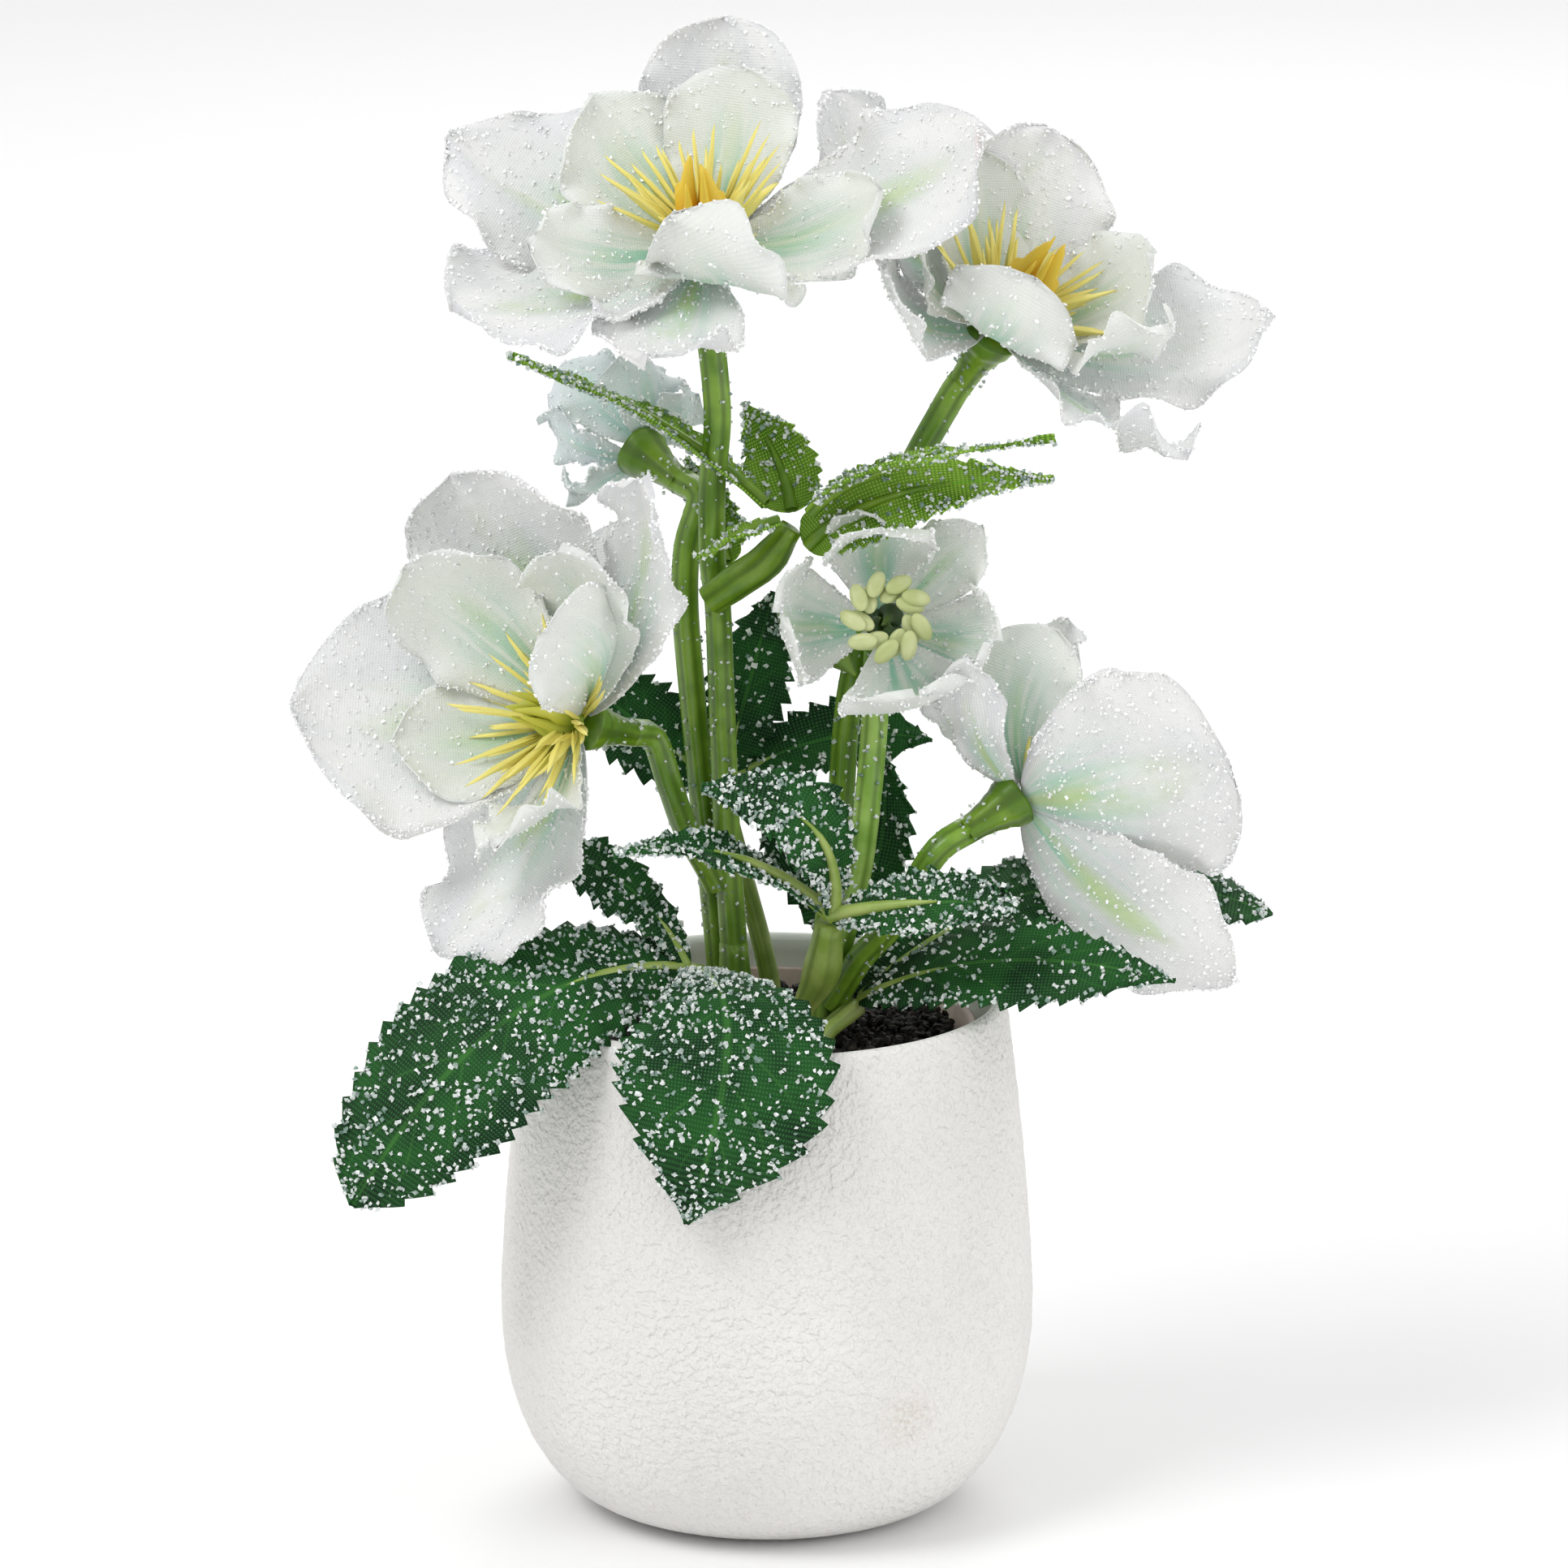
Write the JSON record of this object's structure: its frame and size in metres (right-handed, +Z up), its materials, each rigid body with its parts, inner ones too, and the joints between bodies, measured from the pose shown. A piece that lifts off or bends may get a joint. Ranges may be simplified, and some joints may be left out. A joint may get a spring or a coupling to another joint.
{
  "type": "artificial potted christmas rose",
  "caption": "Small artificial christmas rose with white cloth flowers, frosted green leaves and moulded stems, in a round-bellied white stucco pot.",
  "frame": {"origin": "middle of the pot's flat base, on the surface it stands on", "axes": "+Z up along the pot's axis; -Y is the side that shows the flowers best; +X is to the right seen from -Y"},
  "size_m": [0.1477, 0.084, 0.2256],
  "materials": {
    "pot": "rough matt stucco",
    "inner_pot": "matt",
    "filler": "rough cast",
    "soil": "loose dark granules",
    "stem": "satin moulded, sparse clear frosting",
    "pale_stem": "satin moulded, sparse clear frosting",
    "stalk": "satin moulded, clear frosting",
    "receptacle": "satin moulded, clear frosting",
    "stamen": "satin moulded",
    "anther": "satin moulded",
    "orange_pistil": "satin moulded",
    "green_pistil": "satin moulded",
    "inner_petal": "fine woven, tinted green near the heart",
    "outer_petal": "fine woven, dusted with clear grains",
    "bud_petal": "fine woven, pale teal, dusted with clear grains",
    "bract": "woven, yellow green, clear frosting",
    "leaf": "woven, dark green, clear frosting",
    "frosted_leaf": "woven, dark green, dense clear frosting"
  },
  "bodies": {
    "root": {"pot": "pot", "inner_pot": "inner_pot", "socket_left": "stem", "socket_right": "stem", "stem_top_left": "stem", "stem_bud": "stem", "stem_top_right": "stem", "stem_small": "pale_stem", "branch_left": "stem", "branch_right": "stem", "stalk_front": "stalk", "stalk_centre": "stalk", "stalk_back": "stalk", "stalk_right": "stalk", "stalk_tall": "stalk", "filler": "filler", "soil": "soil", "top_left_receptacle": "receptacle", "top_left_pistil": "orange_pistil", "top_left_stamens": "stamen", "top_right_receptacle": "receptacle", "top_right_pistil": "orange_pistil", "top_right_stamens": "stamen", "left_receptacle": "receptacle", "left_pistil": "green_pistil", "left_stamens": "stamen", "right_receptacle": "receptacle", "right_pistil": "green_pistil", "right_stamens": "stamen", "small_receptacle": "receptacle", "small_pistil": "green_pistil", "small_stamens": "anther", "bud_receptacle": "receptacle", "top_left_inner_petals": "inner_petal", "top_left_outer_petals": "outer_petal", "top_right_inner_petals": "inner_petal", "top_right_outer_petals": "outer_petal", "left_inner_petals": "inner_petal", "left_outer_petals": "outer_petal", "right_inner_petals": "inner_petal", "right_outer_petals": "outer_petal", "small_outer_petals": "outer_petal", "bud_outer_petals": "bud_petal", "bract_hub": "receptacle", "wedge_small": "receptacle", "bract_left_long": "bract", "bract_up": "bract", "bract_right_upper": "bract", "bract_right_lower": "bract", "bract_small": "bract", "bract_back": "bract", "leaf_front": "leaf", "leaf_centre": "frosted_leaf", "leaf_back": "leaf", "leaf_right": "leaf", "leaf_tall": "leaf"}
  },
  "joints": []
}
